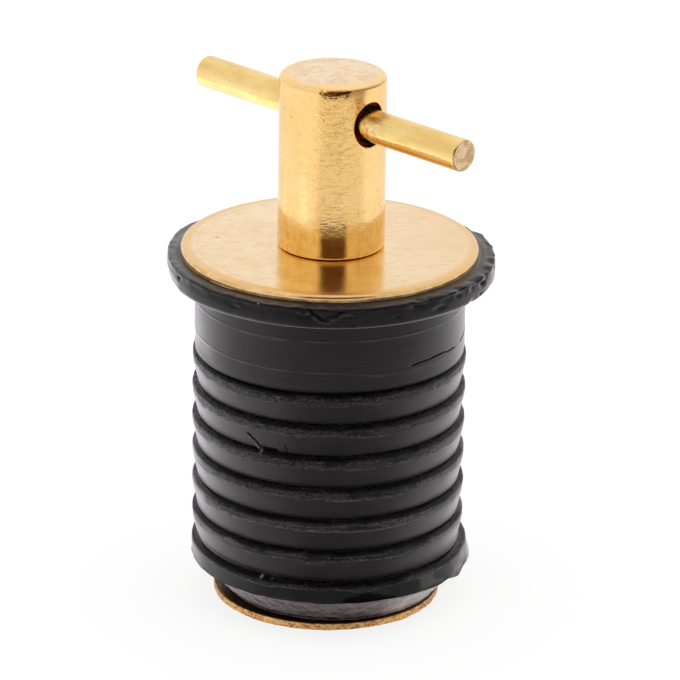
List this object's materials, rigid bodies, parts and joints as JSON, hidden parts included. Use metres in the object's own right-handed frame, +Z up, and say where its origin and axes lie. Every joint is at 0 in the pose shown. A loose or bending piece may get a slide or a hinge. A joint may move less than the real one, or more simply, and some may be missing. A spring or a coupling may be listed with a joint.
{
  "type": "expanding drain plug",
  "caption": "Boat drain plug: ringed black rubber body between two brass discs, with a brass T-handle that is turned to squeeze the rubber and make it bulge.",
  "frame": {"origin": "on the plug's axis, at the underside of the bottom plate", "axes": "+Z up along the plug's axis towards the handle; the cross bar lies along X"},
  "size_m": [0.0334, 0.0304, 0.0508],
  "materials": {
    "plate_brass": "sheared edge, dull",
    "stud_brass": "rolled thread",
    "black_rubber": "satin, moulded",
    "washer_brass": "smooth, slightly dull",
    "post_brass": "fine turned, slightly rough",
    "bar_brass": "drawn, polished"
  },
  "bodies": {
    "plug": {"bottom_plate": "plate_brass", "threaded_stud": "stud_brass", "rubber_plug": "black_rubber"},
    "washer": {"top_washer": "washer_brass"},
    "handle": {"handle_post": "post_brass", "cross_bar": "bar_brass"}
  },
  "joints": [
    {"name": "washer_press", "type": "slide", "parent": "plug", "child": "washer", "axis": [0, 0, -1], "range_m": [0, 0.00382], "deforming": ["rubber_plug"]},
    {"name": "handle_turn", "type": "hinge", "parent": "washer", "child": "handle", "pos_m": [0, 0, 0.0343], "axis": [0, 0, -1], "range_deg": [0, 1080]}
  ],
  "couplings": [
    {"joint": "washer_press", "follows": "handle_turn", "m_per_rad": 0.00020213}
  ]
}
